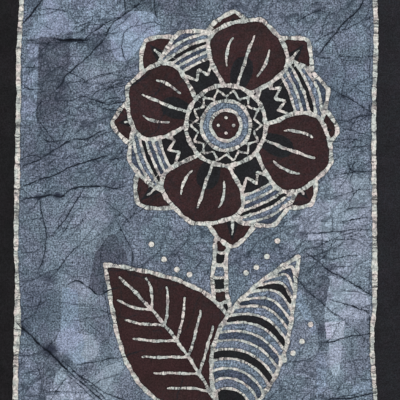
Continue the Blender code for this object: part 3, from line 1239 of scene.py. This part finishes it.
def mottled(s, place, dye, grain, lively):
    """The dye with broad clouds, mottling, thread streaks both ways and a fine grain."""
    hue = s.noise(place, 30.0, 2.0, 0.5, shift=31.0)
    cool, warm = (s.mix(1.0, dye, tint, "MULTIPLY") for tint in (COOL_TINT, WARM_TINT))
    colour = s.mix(s.ramp(hue, 0.38, 0.62), cool, warm)
    cloud = s.ramp(s.noise(place, 46.0, 3.0, 0.55), 0.3, 0.7, 1.08, 0.86)
    mottle = s.ramp(s.noise(place, 6.0, 3.0, 0.65, shift=11.0), 0.3, 0.7, -0.12, 0.12)
    streaks = s.ramp(s.noise(place, 1.5, 2.0, 0.6, (1.0, 14.0), shift=7.0), 0.3, 0.7, -0.13, 0.13)
    threads = s.ramp(s.noise(place, 1.4, 2.0, 0.6, (16.0, 1.0), shift=19.0), 0.3, 0.7, -0.12, 0.12)
    shade = s.plus(s.ramp(grain, 0.30, 0.70, -0.64, 0.78), s.plus(mottle, streaks))
    shade = s.plus(s.times(s.plus(shade, threads), lively), 1.0)
    return s.scaled(colour, s.times(shade, cloud))


def crackled(s, place, loose, colour, lively):
    """A net of hair cracks, with painted highlights next to them, and small cells of crazed wax, also as a
    value for the relief.
    """
    close = s.vector("ADD", place, s.wander(place, 4.0, 1.3))
    uncalm = s.rest(s.attribute("calm", "Fac"))
    hairs, ridge_highlights = hair_cracks(s, close)
    # Painted highlight: the colour made paler along the crest next to each hair crack, except where the wax
    # cracked little.
    colour = s.mix(s.times(ridge_highlights, uncalm), colour, s.scaled(colour, 2.1))
    cells = s.times(s.ramp(s.cracks(close, 3.6), 0.0, 0.62, 0.66, 0.0), lively)
    cells = s.times(cells, s.ramp(s.noise(place, 16.0, 2.0, shift=57.0), 0.36, 0.60, 0.3, 1.0))
    crazed = s.ramp(s.cracks(loose, 12.0), 0.0, 0.55, 0.75, 0.0)
    crazed = s.times(crazed, s.ramp(s.noise(place, 24.0, 2.0, shift=43.0), 0.44, 0.62))
    hairs = s.times(s.times(hairs, s.plus(s.times(lively, 0.7), 0.3)), uncalm)
    crackle = s.math("MAXIMUM", s.math("MAXIMUM", crazed, cells), hairs)
    return s.mix(s.times(crackle, 0.78), colour, CRACK_INK, "DARKEN"), crackle


def soaked(s, place, colour, wax_edge, vein):
    """Dye that runs dark along the edge of the wax, soaks out from the veins and stands in blots."""
    rim = s.times(s.ramp(wax_edge, 0.2, 2.0, 1.0, 0.0), 0.6)
    colour = s.mix(rim, colour, s.scaled(colour, 0.3))
    depth = s.ramp(s.noise(place, 5.0, 2.0, 0.6, shift=77.0), 0.3, 0.7, 0.02, 0.30)
    colour = s.mix(s.times(s.ramp(vein, 0.0, 3.0, 1.0, 0.0), depth), colour, CRACK_INK, "DARKEN")
    return s.mix(s.attribute("blot", "Fac"), colour, BLOT_INK, "DARKEN")


def wax_colour(s, place, loose):
    """Off-white cotton under the wax, tinted and stained here and there, with cracks across."""
    tint = s.noise(place, 13.0, 2.0, 0.5, shift=83.0)
    cream = s.mix(s.ramp(tint, 0.40, 0.52), WAX_GREEN, WAX_CREAM)
    cream = s.mix(s.ramp(tint, 0.54, 0.66), cream, WAX_PINK)
    lump = s.noise(place, 3.2, 2.0, 0.6, shift=91.0)
    cream = s.scaled(cream, s.ramp(lump, 0.28, 0.60, 0.62, 1.05))
    stained = s.ramp(s.noise(place, 10.0, 3.0, 0.6, shift=101.0), 0.52, 0.70, 0.0, 0.66)
    cream = s.mix(stained, cream, WAX_STAIN)
    drift = s.ramp(s.noise(place, 4.0, 1.0, 0.5, shift=131.0), 0.2, 0.8, -0.9, 0.9)
    along = s.attribute("along", "Fac")
    joined = s.node("ShaderNodeCombineXYZ")
    s.feed(joined.inputs["X"], s.plus(along, drift))
    across = s.math("ABSOLUTE", s.math("SUBTRACT", s.noise(joined.outputs[0], 9.0, 3.0, 0.7), 0.5))
    across = s.ramp(across, 0.0, 0.054, 0.92, 0.0)
    some = s.ramp(s.noise(place, 26.0, 1.0, shift=151.0), 0.36, 0.58, 0.40, 1.0)
    across = s.times(s.times(across, some), s.ramp(along, 0.5 * UNCRACKED, 0.0))
    hair = s.math("MAXIMUM", across, s.ramp(s.cracks(loose, 9.0), 0.02, 0.30, 0.5, 0.0))
    return s.mix(hair, cream, WAX_CRACK)


def inked_veins(s, place, colour, vein):
    """The veins themselves, broken and uneven in width, also as a value for the relief."""
    jagged = s.ramp(s.noise(place, 2.0, 3.0, 0.7, shift=113.0), 0.25, 0.75, -0.38, 0.38)
    line = s.ramp(s.plus(vein, jagged), -0.30, 0.48, 1.0, 0.0)
    faint = s.ramp(s.noise(place, 8.0, 2.0, shift=127.0), 0.34, 0.52, 0.55, 1.0)
    line = s.times(line, s.math("MAXIMUM", faint, s.ramp(vein, -0.9, -0.4, 1.0, 0.0)))
    colour = s.mix(line, colour, VEIN_INK, "DARKEN")
    return s.mix(s.ramp(vein, -1.2, -0.4, 0.9, 0.0), colour, VEIN_HEART, "DARKEN"), line


def seen_behind(s, place, colour):
    """The back took the dye a little less, and has a painted shadow along the folded edge of the hem."""
    side = s.node("ShaderNodeSeparateXYZ")
    s.feed(side.inputs[0], place)
    colour = s.mix(s.times(side.outputs["Z"], 0.10), colour, BACK_HAZE)
    # Painted shadow: a dark line along the hem's folded edge on the back.
    turned = s.ramp(s.math("ABSOLUTE", s.attribute("turned", "Fac")), 0.2, 0.9, 0.75, 0.0)
    return s.mix(turned, colour, s.scaled(colour, 0.25))


def fine_relief(s, place, grain, crackle, line):
    """Plain weave, grain and pressed cracks as a bump."""
    height = None
    for direction in "XY":
        wave = s.node("ShaderNodeTexWave", wave_type="BANDS", bands_direction=direction)
        s.feed(wave.inputs["Vector"], place)
        wave.inputs["Scale"].default_value = WEAVE_SCALE
        ribs = wave.outputs["Fac"]
        height = ribs if height is None else s.times(height, ribs)
    height = s.plus(s.times(height, 0.10), s.times(grain, 0.5))
    height = s.math("SUBTRACT", height, s.times(crackle, 0.15))
    height = s.math("SUBTRACT", height, s.times(line, 0.25))
    bump = s.node("ShaderNodeBump")
    bump.inputs["Distance"].default_value = 0.0005
    bump.inputs["Strength"].default_value = 0.6
    s.feed(bump.inputs["Height"], height)
    return bump.outputs["Normal"]


def thread_material():
    """Dark polished sewing cotton."""
    s = Shader("sewing_thread")
    place = s.node("ShaderNodeTexCoord").outputs["Object"]
    twist = s.node("ShaderNodeTexNoise")
    s.feed(twist.inputs["Vector"], place)
    twist.inputs["Scale"].default_value = 2600.0
    s.feed(s.surface.inputs["Base Color"],
           s.mix(s.ramp(twist.outputs[0], 0.35, 0.65), THREAD_DARK, THREAD_LIGHT))
    s.surface.inputs["Roughness"].default_value = 0.55
    s.surface.inputs["Sheen Weight"].default_value = 0.1
    return s.material


def stitch_faces(first, rings):
    """The faces of one stitch: its sides, and a cap at each end."""
    sides = THREAD_SIDES
    faces = []
    for k in range(rings - 1):
        for turn in range(sides):
            a, b = first + k * sides + turn, first + k * sides + (turn + 1) % sides
            faces.append((a, a + sides, b + sides, b))
    last = first + (rings - 1) * sides
    faces.append(tuple(first + turn for turn in range(sides)))
    faces.append(tuple(last + turn for turn in reversed(range(sides))))
    return faces


def stitch_starts():
    """Where the stitches start round the hem, and which way each runs."""
    starts = resampled(rectangle(STITCH_INSET), STITCH_PITCH, True)
    ahead = np.roll(starts, -1, axis=0) - starts
    return starts, ahead / np.hypot(*ahead.T)[:, None]


def make_stitches(drawing):
    """Lock stitches round the hem, on the face and on the back, as one mesh."""
    starts, ahead = stitch_starts()
    count, shares = len(starts), (0.0, 0.25, 0.5, 0.75, 1.0)
    places = np.vstack([starts + ahead * (STITCH_LENGTH * share) for share in shares])
    out = HEM / 2 + fold_forward(*places.T) + relief(places, drawing)
    slip = np.random.default_rng(5).uniform(-STITCH_SLIP, STITCH_SLIP, count)
    points, faces = [], []
    for face_sign, base in ((1, 0.0), (-1, HEM)):
        for stitch in range(count):
            side = np.array([-ahead[stitch][1], ahead[stitch][0]])
            faces += stitch_faces(len(points), len(shares))
            for k, share in enumerate(shares):
                rise = STITCH_RISE * math.sin(math.pi * share) - STITCH_SINK
                spot = places[k * count + stitch] + side * slip[stitch]
                depth = out[k * count + stitch] - base + face_sign * rise
                for turn in range(THREAD_SIDES):
                    angle = 2 * math.pi * turn / THREAD_SIDES
                    moved = spot + side * (THREAD_RADIUS * math.cos(angle))
                    points.append((*moved, depth + THREAD_RADIUS * math.sin(angle)))
    points = np.array(points)
    vertices = hung(points[:, :2], points[:, 2])
    return linked_mesh("hem_stitches", vertices, faces, thread_material())


def add_floor():
    """A pale floor below the lower hem, painted lighter further out where the lamps light it less."""
    size, below = 24.0, 0.05
    bpy.ops.mesh.primitive_plane_add(size=size, location=(0, 0, -HEIGHT * MM - below))
    floor = bpy.context.object
    floor.name = "floor"
    s = Shader("pale_floor")
    away = s.node("ShaderNodeVectorMath", operation="LENGTH")
    s.feed(away.inputs[0], s.node("ShaderNodeTexCoord").outputs["Object"])
    # Painted light: the floor's colour runs lighter with distance, making up for the lamps' falloff.
    far = s.ramp(away.outputs["Value"], 1.0, 7.0)
    s.feed(s.surface.inputs["Base Color"], s.mix(far, FLOOR_NEAR, FLOOR_FAR_PAINTED_LIGHTER))
    s.surface.inputs["Roughness"].default_value = 0.8
    floor.data.materials.append(s.material)


def add_light(name, place, target, size, power):
    """A soft rectangular lamp that looks at its target."""
    lamp = bpy.data.lights.new(name, "AREA")
    lamp.shape = "RECTANGLE"
    lamp.size, lamp.size_y = size
    lamp.energy = power
    light = bpy.data.objects.new(name, lamp)
    light.location = place
    light.rotation_euler = (Vector(target) - Vector(place)).to_track_quat("-Z", "Y").to_euler()
    bpy.context.scene.collection.objects.link(light)


def add_lights():
    """Soft, nearly flat light on the face, a little stronger from the right, and fill behind."""
    middle = (0, 0, -0.33)
    add_light("key", (1.5, -2.2, 0.75), middle, (1.6, 1.6), 32)
    add_light("fill", (-1.7, -2.0, 0.2), middle, (1.8, 1.8), 14)
    add_light("back_fill", (-0.8, 2.2, 0.6), middle, (1.8, 1.8), 24)
    world = bpy.data.worlds.new("studio")
    world.use_nodes = True
    background = world.node_tree.nodes["Background"]
    background.inputs["Color"].default_value = (0.88, 0.88, 0.88, 1.0)
    background.inputs["Strength"].default_value = 0.62
    bpy.context.scene.world = world


def add_camera():
    """Face on, far enough off for the view's width at the cloth."""
    lens, sensor = 100.0, 36.0
    camera = bpy.data.cameras.new("camera")
    camera.lens = lens
    camera.sensor_width = sensor
    looker = bpy.data.objects.new("camera", camera)
    looker.location = (VIEW_ACROSS * MM, -VIEW_WIDTH * lens / sensor * MM, -VIEW_DOWN * MM)
    looker.rotation_euler = (math.pi / 2, 0, 0)
    bpy.context.scene.collection.objects.link(looker)
    bpy.context.scene.camera = looker


add_camera()
drawing = drawn_cloth()
sheet = make_sheet(drawing)
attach(sheet, "root")
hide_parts("batik_cloth")
stitches = make_stitches(drawing)
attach(stitches, "root")
add_floor()
add_lights()
bpy.context.scene.view_settings.view_transform = "Standard"
